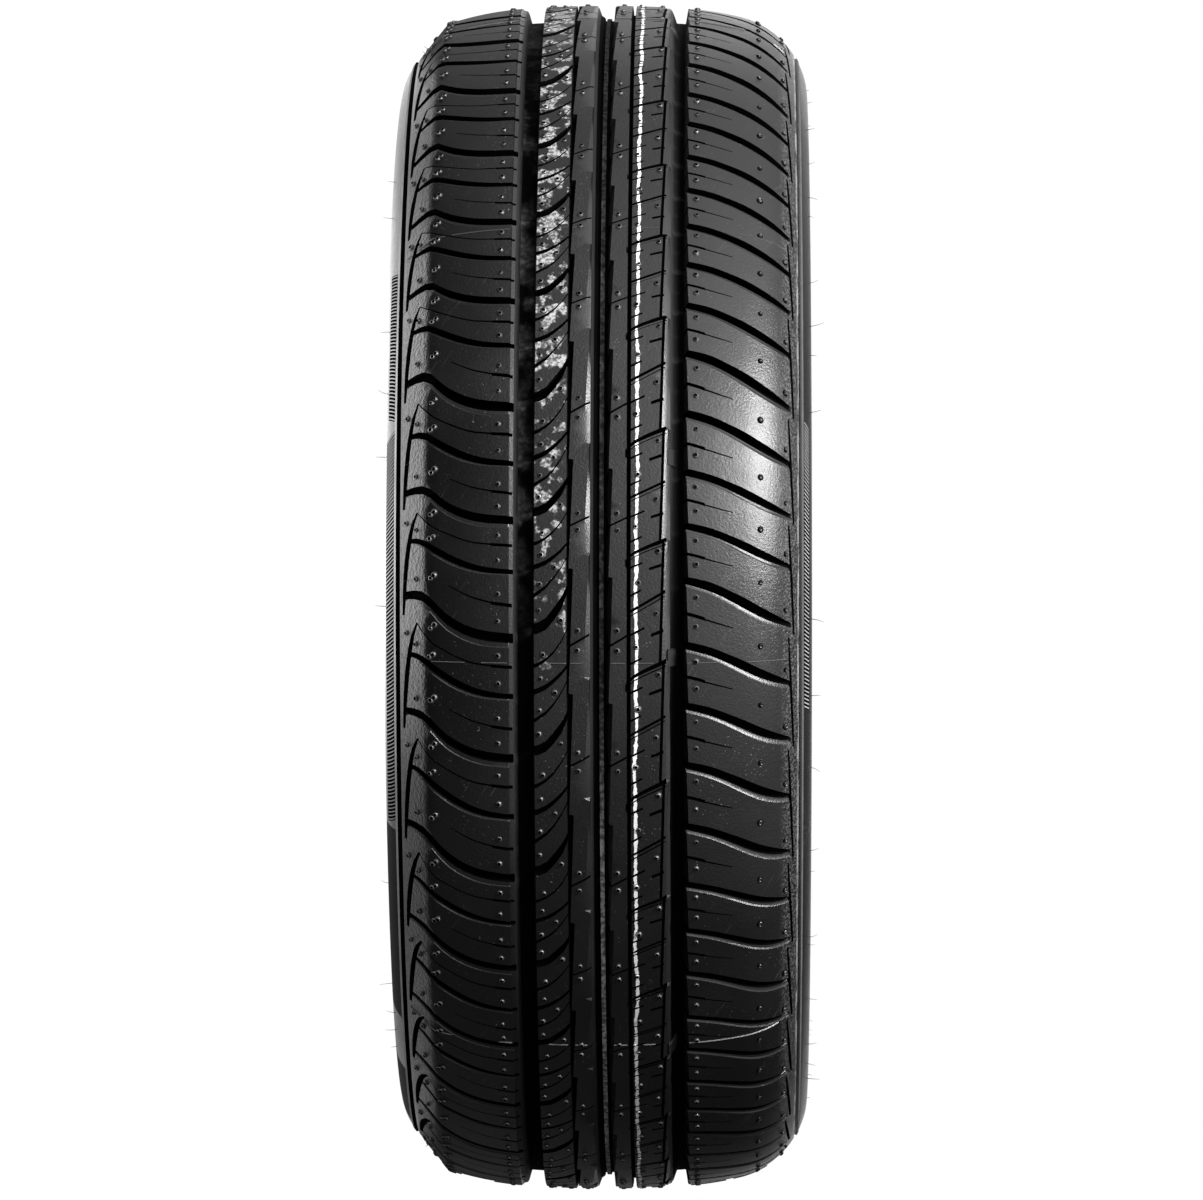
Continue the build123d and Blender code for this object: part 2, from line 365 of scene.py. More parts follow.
def tileMesh():
    fineRuns = cutRuns((sipes,)) + lineRuns()
    runs = cutRuns((slots,)) + fineRuns
    length = 2 * pitch["length"]
    edge = section["treadEdge"]
    points, edges = [], []

    def addLine(line):
        first = len(points)
        points.extend(line)
        edges.extend((first + i, first + i + 1) for i in range(len(line) - 1))

    step = tile["step"]
    sides = np.arange(0, 2 + tiny, step) * pitch["length"]
    (middleEnd, middleCount), (sideStart, sideCount) = tile["middle"], tile["shoulder"]
    across = np.concatenate((
        np.linspace(-edge, -sideStart, sideCount), np.linspace(-middleEnd, middleEnd, middleCount),
        np.linspace(sideStart, edge, sideCount),
    ))
    for u in (0, length):
        addLine([(u, v) for v in across])
    for v in (-edge, edge):
        addLine([(u, v) for u in sides])
    counts = np.arange(-step, 2 + step + tiny, step)
    lowest, highest = tile["reach"]
    for lines in grooves:
        for entry in lines:
            at = counts
            if len(entry) == 3:
                steps = np.array(sawTeeth[entry[0]])[:, 0]
                at = np.unique(np.concatenate([counts] + [steps + shift for shift in (-2, 0, 2)]))
                at = at[(at > lowest) & (at < highest)]
            addLine(list(zip(at * pitch["length"], grooveLine(entry, at))))
    for around, run, cut in runs:
        for shift in (-length, 0, length):
            ends = []
            for offset, _ in cut:
                if around:
                    line = np.column_stack((run[:, 0] + shift, run[:, 1] + offset))
                else:
                    line = np.column_stack((run[:, 1] + offset + shift, run[:, 0]))
                if line[:, 0].max() < -tile["margin"] or line[:, 0].min() > length + tile["margin"]:
                    continue
                addLine([tuple(p) for p in line])
                ends.append((tuple(line[0]), tuple(line[-1])))
            for first, second in zip(ends, ends[1:]):
                addLine([first[0], second[0]])
                addLine([first[1], second[1]])

    # Loose points keep the plain rubber round
    loose = np.arange(step / 2, 2, step) * pitch["length"]
    u, v = (grid.ravel() for grid in np.meshgrid(loose, across[1:-1] + tile["looseShift"]))
    free = ~nearCut(runs, u, v, cutShape["clear"]) & (grooveDepth(u / pitch["length"], v) == 0)
    points.extend(zip(u[free], v[free]))

    spots = [Vector(p) for p in points]
    verts, _, faces, *_ = geometry.delaunay_2d_cdt(spots, edges, [], 0, tile["weld"])
    flat = np.array([tuple(p) for p in verts])
    faces = np.array([f for f in faces if len(f) == 3])
    corners = flat[faces]
    middle = corners.mean(axis=1)
    inside = (middle[:, 0] > 0) & (middle[:, 0] < length) & (np.abs(middle[:, 1]) < edge)
    area = np.cross(corners[:, 1] - corners[:, 0], corners[:, 2] - corners[:, 0])
    faces = faces[inside & (np.abs(area) > tile["leastArea"])]
    used, faces = np.unique(faces, return_inverse=True)
    faces = faces.reshape(-1, 3)
    flat = flat[used]
    flat[:, 0] = np.clip(flat[:, 0], 0, length)
    along, place = flat.T
    cuts = cutDepth(runs, along, place)
    depth = np.maximum(cuts, grooveDepth(along / pitch["length"], place))
    # Painted shade: the near-black cut material goes on the floors of the grooves, the cuts' walls and
    # floors, and all of the narrow cuts
    middle = flat[faces].mean(axis=1)
    paintedShade = depth[faces].min(axis=1) > cutShape["darkBelow"]
    paintedShade |= cuts[faces].max(axis=1) > cutShape["darkBelow"]
    paintedShade |= cutDepth(fineRuns, middle[:, 0], middle[:, 1]) > cutShape["narrowBelow"]
    return flat, faces, depth, paintedShade


# Fine ridges and lines where each sidewall begins: (place, height)
sideRelief = {
    1: (
        (98.6, 0), (100.2, 0), (100.5, -1.2), (101.2, -1.2), (101.4, 0.5), (102.2, 0.5), (102.5, -0.2),
        (103, 0),
    ),
    -1: ((98.4, 0), (98.7, -1.8), (99.9, -1.8), (100.2, 0.6), (101.2, 0.6), (101.5, 0), (102, 0)),
}
# Panels of painted shade on the left sidewall, a dull low-shine finish; from and to in degrees up from the
# middle of the seen side
shadedSidePanels = {"farthest": -101.4, "leastRadius": 255, "arcs": ((-49, -24), (-76, -59))}


def sideOutline():
    # From one tread edge round both beads and the liner to the other, as (radius, along the axle, height)
    s = section
    wide = s["widestRadius"]
    edgeRadius, edgePlace = beadRadius + s["heel"], s["halfRim"]
    turn = math.radians(s["lowerTurn"])
    fall = (wide - edgeRadius) * math.sin(turn) - (halfSection - edgePlace) * math.cos(turn)
    arc = fall / (1 - math.cos(turn))
    lower = [
        (wide - arc * math.sin(t), halfSection - arc * (1 - math.cos(t)))
        for t in np.linspace(0, turn, s["rows"]["lower"])
    ]
    heel = [
        (beadRadius + s["heel"] * (1 - math.sin(t)), edgePlace - s["heel"] * (1 - math.cos(t)))
        for t in np.linspace(0, math.pi / 2, s["rows"]["heel"])
    ]
    toePlace = edgePlace - s["beadWidth"]
    toe = [(beadRadius + rise, toePlace + along) for rise, along in s["toe"]]
    waist = [(wide, halfSection - s["sidewall"])]
    linerTurn = math.asin(s["linerHalf"] / s["linerArc"])
    linerTop = tyreRadius - s["crownThickness"]
    crown = [
        (linerTop - s["linerArc"] * (1 - math.cos(t)), s["linerArc"] * math.sin(t))
        for t in np.linspace(linerTurn, 0, s["rows"]["crown"])
    ]
    bendRadius = s["linerShoulder"]
    bendTop = crown[0][0] - bendRadius * math.cos(linerTurn)
    bendSide = crown[0][1] - bendRadius * math.sin(linerTurn)
    bend = [
        (bendTop + bendRadius * math.cos(t), bendSide + bendRadius * math.sin(t))
        for t in np.linspace(math.radians(s["linerSideAngle"]), linerTurn, s["rows"]["bend"])[:-1]
    ]
    half = [(r, z, 0) for r, z in lower + heel + toe + waist + bend + crown]
    outline = {}
    for hand in (1, -1):
        last = ((z, 0) for z in halfSection - np.array(s["sideSteps"]))
        place, lift = np.array([(s["treadEdge"], 0), *sideRelief[hand], *last]).T
        radius, out, along = treadSurface(place * hand)
        outline[hand] = [*zip(radius + lift * out, place + lift * np.abs(along), lift), *half]
    return outline[1] + [(r, -z, lift) for r, z, lift in reversed(outline[-1][:-1])]


def addObject(name, data):
    made = bpy.data.objects.new(name, data)
    scene.collection.objects.link(made)
    return made


def makePiece(name, verts, faces, materials, angle, depth=None, shade=None, closeness=0):
    mesh = bpy.data.meshes.new(name)
    mesh.from_pydata([tuple(v) for v in verts], [], [tuple(int(i) for i in f) for f in faces])
    # cutDepth holds the depth of the cuts, and also painted shade (positive values) and painted highlight
    # (negative values) for the materials
    deep = mesh.attributes.new("cutDepth", "FLOAT", "POINT")
    deep.data.foreach_set("value", np.zeros(len(verts)) if depth is None else depth)
    for material in materials:
        mesh.materials.append(material)
    if shade is not None:
        mesh.polygons.foreach_set("material_index", np.array(shade, int))
    build = bmesh.new()
    build.from_mesh(mesh)
    if closeness:
        bmesh.ops.remove_doubles(build, verts=build.verts, dist=closeness)
        bmesh.ops.dissolve_degenerate(build, edges=build.edges, dist=closeness / 4)
    bmesh.ops.recalc_face_normals(build, faces=build.faces)
    build.to_mesh(mesh)
    build.free()
    mesh.shade_smooth()
    mesh.set_sharp_from_angle(angle=math.radians(angle))
    piece = addObject(name, mesh)
    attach(piece, "root")
    return piece


def tubeFaces(first, rows, count):
    # Faces between closed rings of points
    for row in range(rows - 1):
        low, high = first + row * count, first + (row + 1) * count
        for i in range(count):
            j = (i + 1) % count
            yield low + i, low + j, high + j, high + i


def seenAngle(up):
    # Angle round the axle, from degrees up from the middle of the seen side
    return math.radians(-90 - up)


plainSlot, paintedShadeSlot, highlightSlot, shadedPanelSlot = range(4)  # the rubber's materials


def makeRubber(materials):
    flat, faces, depth, paintedShade = tileMesh()
    radius, out, along = treadSurface(flat[:, 1])
    radius, place = radius - depth * out, flat[:, 1] - depth * along
    verts, tris = [], []
    for repeat in range(repeatCount):
        angle = pitchAngle(2 * repeat + flat[:, 0] / pitch["length"])
        tris.append(faces + len(flat) * repeat)
        verts.append(np.column_stack((radius * np.cos(angle), radius * np.sin(angle), place)) * mm)
    print("tread tile", len(flat), "points", len(faces), "triangles")
    verts = [tuple(v) for v in np.concatenate(verts)]
    polys = [tuple(f) for f in np.concatenate(tris)]
    shade = list(np.tile(paintedShade, repeatCount))

    outline = sideOutline()
    angles = pitchAngle(np.arange(0, 2 * repeatCount, tile["step"]))
    upward = (-90 - np.degrees(angles) + 180) % 360 - 180
    shadedArc = np.any([(upward > low) & (upward < high) for low, high in shadedSidePanels["arcs"]], axis=0)
    polys.extend(tubeFaces(len(verts), len(outline), len(angles)))
    for r, z, _ in outline:
        verts.extend((r * math.cos(t) * mm, r * math.sin(t) * mm, z * mm) for t in angles)
    # Painted shade on the sidewall grooves and the left groove walls, painted highlight on the raised
    # relief, and panels of painted shade
    for (r, z, lift), (_, _, nextLift) in zip(outline, outline[1:]):
        lifts = (lift, nextLift)
        shadedWall = min(lifts) < 0 and z < 0
        look = paintedShadeSlot if shadedWall or max(lifts) < 0 else highlightSlot if min(lifts) > 0 else plainSlot
        panel = look == plainSlot and z < shadedSidePanels["farthest"] and r > shadedSidePanels["leastRadius"]
        shade.extend(shadedPanelSlot if panel and shadedHere else look for shadedHere in shadedArc)
    # The raised relief is marked for a painted highlight
    rubbed = [-float(lift > 0) for _, _, lift in outline]
    deep = np.concatenate((np.tile(depth, repeatCount), np.repeat(rubbed, len(angles))))
    return makePiece("tyre_rubber", verts, polys, materials, 25, deep, shade, closeness=2e-5)


# Nubs: rings of (share of the radius, share of the height, shade: painted shade for the dark ring and core,
# painted highlight at -1 for the pale rim), and (place across, pitch) in each repeat
ventNubs = {
    "seed": 7,
    "radius": 1.7,
    "height": 0.95,
    "sides": 8,
    "sizes": (0.8, 1.15),
    "lean": 0.2,
    "rings": (
        (1, -0.2, 2.5), (1, 0.05, 2.5), (0.82, 0.1, 2.5), (0.76, 0.6, -1), (0.52, 1, -1), (0.42, 0.78, 2.5),
    ),
    "core": (0.6, 2.5),
    "brightFrom": 60,
    # Rows that take the near-black painted shade
    "darkRows": ((4, 5), (1, 2)),  # on most of the tread, and on the bright right shoulder
    "places": (
        (49, 0.25), (49, 0.7), (49, 1.25), (49, 1.7), (81, 0.02), (81, 1.02), (93.5, 0.46), (93.5, 1.46),
        (-49, 0.2), (-49, 0.62), (-49, 1.16), (-49, 1.62), (-80.6, 0.68), (-82.4, 0.74), (-81, 1.15),
        (-83, 1.2), (-80.6, 1.88), (-82.4, 1.94), (-90, 1), (-90, 1.95), (-95, 0.84),
        (-27, 1.13), (-27.8, 1.52), (-21, 1.75), (-28.8, 0.45), (-18, 0.6), (-28.4, 0.05), (-9.4, 0.755),
        (-9.4, 1.065), (9.9, 0.755), (10.1, 1.07), (19.4, 1.01), (20.5, 0.03), (29.3, 0.5), (30.4, 1.46),
    ),
}


def onTread(place, angle):
    # A spot, the way out of the rubber there, and the way round
    radius, out, along = (float(v) for v in treadSurface(place))
    spoke = Vector((math.cos(angle), math.sin(angle), 0))
    return spoke * radius + axle * place, (spoke * out + axle * along).normalized(), axle.cross(spoke)


def makeNubs(materials):
    look = ventNubs
    sides, size, tall, rings = look["sides"], look["radius"], look["height"], look["rings"]
    most, (coreLift, coreShade) = look["lean"], look["core"]
    rng = np.random.default_rng(look["seed"])
    verts, faces, depth, shade = [], [], [], []
    for repeat in range(repeatCount):
        for place, count in look["places"]:
            spot, up, around = onTread(place, float(pitchAngle((2 * repeat + count) % (2 * repeatCount))))
            across = up.cross(around)
            grow = size * rng.uniform(*look["sizes"])
            lean = (around * rng.uniform(-most, most) + across * rng.uniform(-most, most)) * size
            first = len(verts)
            # The bright right shoulder gets no painted shade or highlight on its nubs
            bright = place > look["brightFrom"]
            for share, lift, deep in rings:
                for i in range(sides):
                    t = 2 * math.pi * i / sides
                    rim = (around * math.cos(t) + across * math.sin(t)) * grow * share
                    verts.append((spot + rim + up * tall * lift + lean * max(lift, 0)) * mm)
                    depth.append(0 if bright else deep)
            core = len(verts)
            verts.append((spot + up * tall * coreLift + lean * coreLift) * mm)
            depth.append(0 if bright else coreShade)
            faces.append(range(first, first + sides))
            faces.extend(tubeFaces(first, len(rings), sides))
            faces.extend((core - sides + i, core - sides + (i + 1) % sides, core) for i in range(sides))
            shade.append(plainSlot)
            for row in range(len(rings)):
                shade.extend([paintedShadeSlot if row in look["darkRows"][int(bright)] else plainSlot] * sides)
    return makePiece("vent_nubs", verts, faces, materials, 60, depth, shade)


# Thin moulding hairs: degrees up from the middle of the seen side and length, on each sidewall
ventHairs = {
    "seed": 11,
    "width": 0.42,
    "steps": 5,
    "sidePlace": 106,
    "seen": {
        1: (
            (61, 5), (53.5, 4), (47.5, 6), (44.5, 3), (35, 5), (29.5, 7), (26, 4), (19.5, 5), (-2.3, 7),
            (-10.3, 5), (-18, 6), (-27.5, 5), (-30, 3.5), (-38.6, 5), (-39.7, 3), (-48, 6), (-56.5, 5),
            (-61, 4), (-65, 6),
        ),
        -1: (
            (50.6, 3.5), (44.5, 5.5), (29, 5), (21.7, 5), (14.7, 5), (-1, 5), (-31.7, 5.5), (-45.8, 8),
            (-50.8, 5), (-54.1, 6), (-57.6, 3),
        ),
    },
    "unseen": {"count": 26, "arc": (5, 175), "length": (3, 6)},
    "shoulder": {"count": 44, "places": (-94.5, 93.5), "spread": (0.1, 0.9), "length": (1.5, 3.2)},
    "outward": (0.9, 0.5),  # shares along the axle and off the surface
    "bendRound": (-0.6, 0.6),
    "bendUp": (-0.2, 0.3),
    "bend": 0.7,
    "sunk": 0.4,
    "taper": 0.65,
}


def makeHairs(materials):
    look = ventHairs
    unseen, shoulder = look["unseen"], look["shoulder"]
    rng = np.random.default_rng(look["seed"])
    hairs = []
    for hand, seen in look["seen"].items():
        place = look["sidePlace"] * hand
        hairs += [(place, seenAngle(up), length, hand) for up, length in seen]
        for _ in range(unseen["count"]):
            angle = math.radians(rng.uniform(*unseen["arc"]))
            hairs.append((place, angle, rng.uniform(*unseen["length"]), hand))
    for i in range(shoulder["count"]):
        angle = 2 * math.pi * (i + rng.uniform(*shoulder["spread"])) / shoulder["count"]
        hairs.append((rng.choice(shoulder["places"]), angle, rng.uniform(*shoulder["length"]), 0))
    verts, faces = [], []
    steps, thick = look["steps"], look["width"] / 2
    outShare, upShare = look["outward"]
    for place, angle, length, outward in hairs:
        spot, up, around = onTread(place, angle)
        way = (axle * outShare * outward + up * upShare if outward else up).normalized()
        bend = around * rng.uniform(*look["bendRound"]) + up * rng.uniform(*look["bendUp"])
        side = way.cross(around).normalized()
        corners = (around, side, -around, -side)
        count, first = len(corners), len(verts)
        for step in range(steps + 1):
            t = step / steps
            centre = spot + way * (length * t - look["sunk"]) + bend * (length * t * t * look["bend"])
            size = thick * (1 - look["taper"] * t)
            verts.extend((centre + corner * size) * mm for corner in corners)
        faces.append(range(first, first + count))
        faces.append(range(len(verts) - count, len(verts)))
        faces.extend(tubeFaces(first, steps + 1, count))
    return makePiece("vent_hairs", verts, faces, materials, 80)


# Fine ribbing on the sidewalls: side, from and to across, lean, and arc in degrees down from the middle
sideRibbing = {
    "ridges": 886,
    "height": 0.16,
    "raised": 0.04,
    "sunk": 0.7,
    "rows": 9,
    "rowSpread": 1.6,
    # Painted shade between the ridges
    "lowShade": 2,
    "bands": {
        "left_upper": (-1, 101.7, 105, -0.55, (-35, -17.6)),
        "left_front": (-1, 101.7, 105.8, 0.8, (-17, 23.6)),
        "left_back": (-1, 101.7, 105.8, 0.8, (110, 250)),
        "right_front": (1, 102.9, 105.2, 0.45, (-18, 11.6)),
        "right_back": (1, 102.9, 105.2, 0.45, (110, 250)),
    },
}


def makeRibbing(band, materials):
    look = sideRibbing
    hand, start, end, slant, arc = look["bands"][band]
    step = math.pi / look["ridges"]
    count = int(math.radians(arc[1] - arc[0]) / step) // 2 * 2
    lean = math.radians(slant)
    shares = 1 - np.linspace(1, 0, look["rows"]) ** look["rowSpread"]
    rows = [(start, -look["sunk"], 0)]
    rows += [(start + (end - start) * t, 0, lean * t) for t in shares]
    rows.append((end, -look["sunk"], lean))
    verts, faces, depth = [], [], []
    for place, sunk, turned in rows:
        for i in range(count + 1):
            spot, up, _ = onTread(place * hand, seenAngle(-arc[0]) + i * step + turned)
            ridge = i % 2 and 0 < i < count
            verts.append((spot + up * (sunk if sunk else look["height"] * ridge + look["raised"])) * mm)
            depth.append(0 if ridge else look["lowShade"])
    wide = count + 1
    for row in range(len(rows)):
        low, high = row * wide, (row + 1) % len(rows) * wide
        faces.extend((low + i, low + i + 1, high + i + 1, high + i) for i in range(count))
    faces.append([row * wide for row in range(len(rows))])
    faces.append([row * wide + count for row in range(len(rows))])
    return makePiece(f"side_ribbing_{band}", verts, faces, materials, 20, depth)


# Low bars across the right groove show wear: degrees up, and (place, depth) round a bar and round its foot
wearBars = {
    "angles": (12.8, -5.6, 72.8, 132.8, 192.8, 252.8, 312.8),
    "length": 8,
    "bevel": 0.8,
    "outline": ((35.2, 1), (38, 4.2), (39.6, 7.4), (40, 9), (37, 9), (35, 3)),
    "foot": ((35.2, 1.8), (37.2, 5.2), (38.7, 8.4), (39.2, 9), (37, 9), (35, 3)),
    # Painted shade, as deep in the groove
    "shade": 2.5,
}


def makeWearBars(materials):
    look = wearBars
    verts, faces = [], []
    half = look["length"] / 2
    far = half + look["bevel"]
    ends = ((-far, "foot"), (-half, "outline"), (half, "outline"), (far, "foot"))
    count = len(look["outline"])
    for up in look["angles"]:
        first = len(verts)
        for along, shape in ends:
            for place, deep in look[shape]:
                spot, out, _ = onTread(place, seenAngle(up) + along / tyreRadius)
                verts.append((spot - out * deep) * mm)
        faces.extend(tubeFaces(first, len(ends), count))
        faces.append(range(first, first + count))
        faces.append(range(len(verts) - count, len(verts)))
    return makePiece("wear_bars", verts, faces, materials, 20, np.full(len(verts), look["shade"]))


# Joints between the mould's segments leave thin ridges over the ribs, painted pale as a highlight
mouldLines = {
    "first": 36,
    "count": 9,
    "shift": 2,
    "reach": 97,
    "step": 0.75,
    "width": 0.6,
    "height": 0.5,
    "sunk": 0.1,
    "clear": 0.3,
    "leastDepth": 0.02,
    # Painted highlight along the lines
    "shade": -1.0,
}


def makeMouldLines(materials):
    look = mouldLines
    runs = cutRuns((slots, sipes)) + lineRuns()
    verts, faces = [], []
    places = np.arange(-look["reach"], look["reach"] + tiny, look["step"])
    half = look["width"] / 2
    for i in range(look["count"]):
        angle = seenAngle(look["first"] - 360 / look["count"] * i - (look["shift"] if i else 0))
        turned = (angle - pitchAngles[0]) % (2 * math.pi)
        count = np.interp(turned, pitchAngles - pitchAngles[0], np.arange(len(pitchAngles)))
        along = np.full_like(places, count % 2)
        cut = nearCut(runs, along * pitch["length"], places, look["clear"])
        cut |= grooveDepth(along, places) > look["leastDepth"]
        previous = None
        for place, broken in zip((*places, None), (*cut, True)):
            if broken:
                if previous is not None:
                    faces.append(range(previous, previous + 3))
                previous = None
                continue
            spot, out, around = onTread(float(place), angle)
            low = spot - out * look["sunk"]
            first = len(verts)
            corners = (low - around * half, spot + out * look["height"], low + around * half)
            verts.extend(corner * mm for corner in corners)
            if previous is None:
                faces.append(range(first, first + 3))
            else:
                faces.extend(tubeFaces(previous, 2, len(corners)))
            previous = first
    return makePiece("mould_lines", verts, faces, materials, 30, np.full(len(verts), look["shade"]))


# Camera, from the photo's own perspective; how far off centre is in pixels of its frame
camera = {
    "distance": 4.0,
    "lens": 223.2,
    "sensor": 36,
    "yawSine": 0.01514,
    "frameWide": 1203,
    "offCentre": (-4.85, -3.3),
    "clipEnd": 50,
}


def placeCamera():
    data = bpy.data.cameras.new("camera")
    data.lens = camera["lens"]
    data.sensor_width = camera["sensor"]
    data.sensor_fit = "HORIZONTAL"
    data.shift_x, data.shift_y = (off / camera["frameWide"] for off in camera["offCentre"])
    data.clip_end = camera["clipEnd"]
    yaw = math.asin(camera["yawSine"])
    back = Vector((0, -math.cos(yaw), math.sin(yaw)))
    up = Vector((-1, 0, 0))
    right = up.cross(back)
    turn = Matrix((right, up, back)).transposed().to_4x4()
    scene.camera = addObject("camera", data)
    scene.camera.matrix_world = Matrix.Translation(back * camera["distance"]) @ turn


class Wire:
    def __init__(self, tree, socket):
        self.tree, self.socket = tree, socket

    def math(self, operation, *values):
        links = dict(enumerate((self, *values)))
        return node(self.tree, "ShaderNodeMath", links, operation=operation)[0]

    def __add__(self, other):
        return self.math("ADD", other)

    def __mul__(self, other):
        return self.math("MULTIPLY", other)

    def __sub__(self, other):
        return self.math("SUBTRACT", other)

    def __rsub__(self, other):
        return self.math("MULTIPLY_ADD", -1, other)

    def __pow__(self, other):
        return self.math("POWER", other)

    __radd__, __rmul__ = __add__, __mul__


def node(tree, kind, links=None, **settings):
    made = tree.nodes.new(kind)
    for key, value in settings.items():
        setattr(made, key, value)
    for key, value in (links or {}).items():
        if isinstance(value, Wire):
            tree.links.new(value.socket, made.inputs[key])
        else:
            made.inputs[key].default_value = value
    return {key: Wire(tree, s) for i, s in enumerate(made.outputs) for key in (i, s.name)}


def softStep(value, start, end):
    links = {"Value": value, "From Min": start, "From Max": end}
    return node(value.tree, "ShaderNodeMapRange", links, interpolation_type="SMOOTHSTEP")["Result"]


def softBand(value, start, full, fade, end):
    return softStep(value, start, full) * (1 - softStep(value, fade, end))


def mixColour(mask, first, second):
    return node(mask.tree, "ShaderNodeMix", {0: mask, 6: first, 7: second}, data_type="RGBA")[2]


def noise(vector, scale, detail, roughness=0.55):
    links = {"Vector": vector, "Scale": scale, "Detail": detail, "Roughness": roughness}
    return node(vector.tree, "ShaderNodeTexNoise", links)["Fac"]


def grey(level):
    return (level, level, level, 1)


rubberLook = {
    "black": (0.0025, 0.0025, 0.0027, 1),
    "dusty": (0.008, 0.008, 0.0083, 1),
    # Near-black painted shade for deep cuts, the rings round the nubs and between the sidewall ridges
    "shade": grey(0.0008),
    "chalk": grey(0.42),
    "paint": grey(0.6),
    # Pale colour for wear, dust and painted highlights
    "speck": grey(0.3),
    "ridge": grey(0.07),
    "ridgeLow": grey(0.4),
    "dust": grey(0.045),
    # Painted highlight on the sidewall ridges; the edge lines' painted highlight is brighter on the left,
    # where the floor's glow falls
    "ribbing": grey(0.27),
    "edgeLineLeft": grey(0.32),
    "edgeLineRight": grey(0.09),
    "dustyShares": {"clouds": 0.35, "fine": 0.15},
    # Pale wear and dust, with painted highlights on nub rims, relief, mould lines and the right tread rim
    "wearShares": {"specks": 0.35, "edge": 0.22, "rubbed": 0.2, "scratches": 0.12, "rim": 0.4},
    "roughness": 0.26,
    "rougher": {"clouds": 0.06, "fine": 0.06, "chalk": 0.2, "paint": 0.3, "deep": 0.3},
    "bump": {"Strength": 0.35, "Distance": 0.0005},
    "cutFinish": {"Roughness": 0.75, "Specular IOR Level": 0.02},
    "panelFinish": {"Roughness": 0.75, "Specular IOR Level": 0.1},
    "ribbingFinish": {"Roughness": 0.9, "Specular IOR Level": 0},
    "outerRadius": (0.303, 0.306),
    "topAbove": (0.3, 0.8),
    "deepBelow": (0.6, 2.2),
    "rubbed": (0.2, 0.8),
    "fine": (900, 4, 0.65),
    "edgeGrain": (0.45, 0.65),
    "ridgeTop": (0.35, 0.95),
}
# Where marks start, are full, fade and end: mm across the tread, the scuffs counted to the left
markPlaces = {
    "chalkRib": (-31.5, -30.5, -16, -15),
    "scuffs": (82, 87, 97, 98.3),
    "pebbles": (48, 60, 97, 98),
    "edge": (90, 95, 100.4, 101),
    "rim": (99.2, 99.6, 100.1, 100.4),
    "middleRidge": (0.9, 1.3, 3.2, 3.6),
    "leftGroove": (-42, -40, -33, -31),
    "rightGroove": (34, 35, 37, 41.5),
}
# Noises behind the marks: scale, detail, and the values between which a mark appears
markNoises = {
    "blots": (105, 3, 0.5, 0.56),
    "chalkGrain": (620, 2, 0.36, 0.64),
    "scratched": (30, 2, 0.45, 0.6),
    "scratches": (1.1, 2, 0.66, 0.74),
    "rim": (0.7, 2, 0.35, 0.6),
    "clouds": (14, 4, 0.35, 0.7),
    "dusted": (38, 3, 0.44, 0.62),
    "specks": (1000, 1, 0.7, 0.77),
    "dustGrain": (420, 3, 0.4, 0.65),
    "dustPatches": (60, 4, 0.42, 0.66),
}
chalkLook = {"from": (-8, -4), "sparse": 0.06, "sparseReach": (0, 20), "solid": 0.15, "strength": 0.8}
paintLook = {
    "place": 19.6,
    "sway": 0.9,
    "swayAbove": (5, 70),
    "swayBelow": (5, 26),
    "wander": (42, 1, 3.2),  # scale, detail and width of the noise
    "ragged": (290, 2, 1.8),
    "edge": (0.6, 0.9),
}
scuffLook = {
    "slant": 0.6,
    "stretch": 0.03,
    "scratchFrom": (40, 50),
    "runStretch": 0.08,
    "pebbles": 0.12,
    "grain": (560, 3),  # scale and detail of the noise
    "grainShare": 4,
    "runs": (0.5, 2),
    "runShare": 1.2,
}


def markNoise(vector, name, less=0):
    scale, detail, start, end = markNoises[name]
    return softStep(noise(vector, scale, detail) - less, start, end)


def partly(solid, mask):
    return solid + (1 - solid) * mask


def weighed(shares, masks):
    return sum(masks[name] * share for name, share in shares.items())


def newMaterial(name):
    material = bpy.data.materials.new(name)
    material.use_nodes = True
    material.node_tree.nodes.clear()
    return material, material.node_tree


def finishMaterial(material, values):
    shader = node(material.node_tree, "ShaderNodeBsdfPrincipled", values)
    node(material.node_tree, "ShaderNodeOutputMaterial", {"Surface": shader["BSDF"]})
    return material


def placeParts(tree):
    # Place, its three parts, and how far it is from the axle
    place = node(tree, "ShaderNodeTexCoord")["Object"]
    parts = node(tree, "ShaderNodeSeparateXYZ", {0: place})
    x, y, z = (parts[name] for name in "XYZ")
    return place, x, y, z, (x * x + y * y) ** 0.5


def placeWires(tree):
    # Place on the tyre, mm across, degrees up from the middle seen, depth of cut with painted shade and
    # highlight, and whether outside
    place, x, y, z, radius = placeParts(tree)
    turn = (x * -1).math("ARCTAN2", y * -1)
    cut = node(tree, "ShaderNodeAttribute", attribute_name="cutDepth")["Fac"]
    outer = softStep(radius, *rubberLook["outerRadius"])
    return place, z * (1 / mm), turn * (180 / math.pi), cut, outer


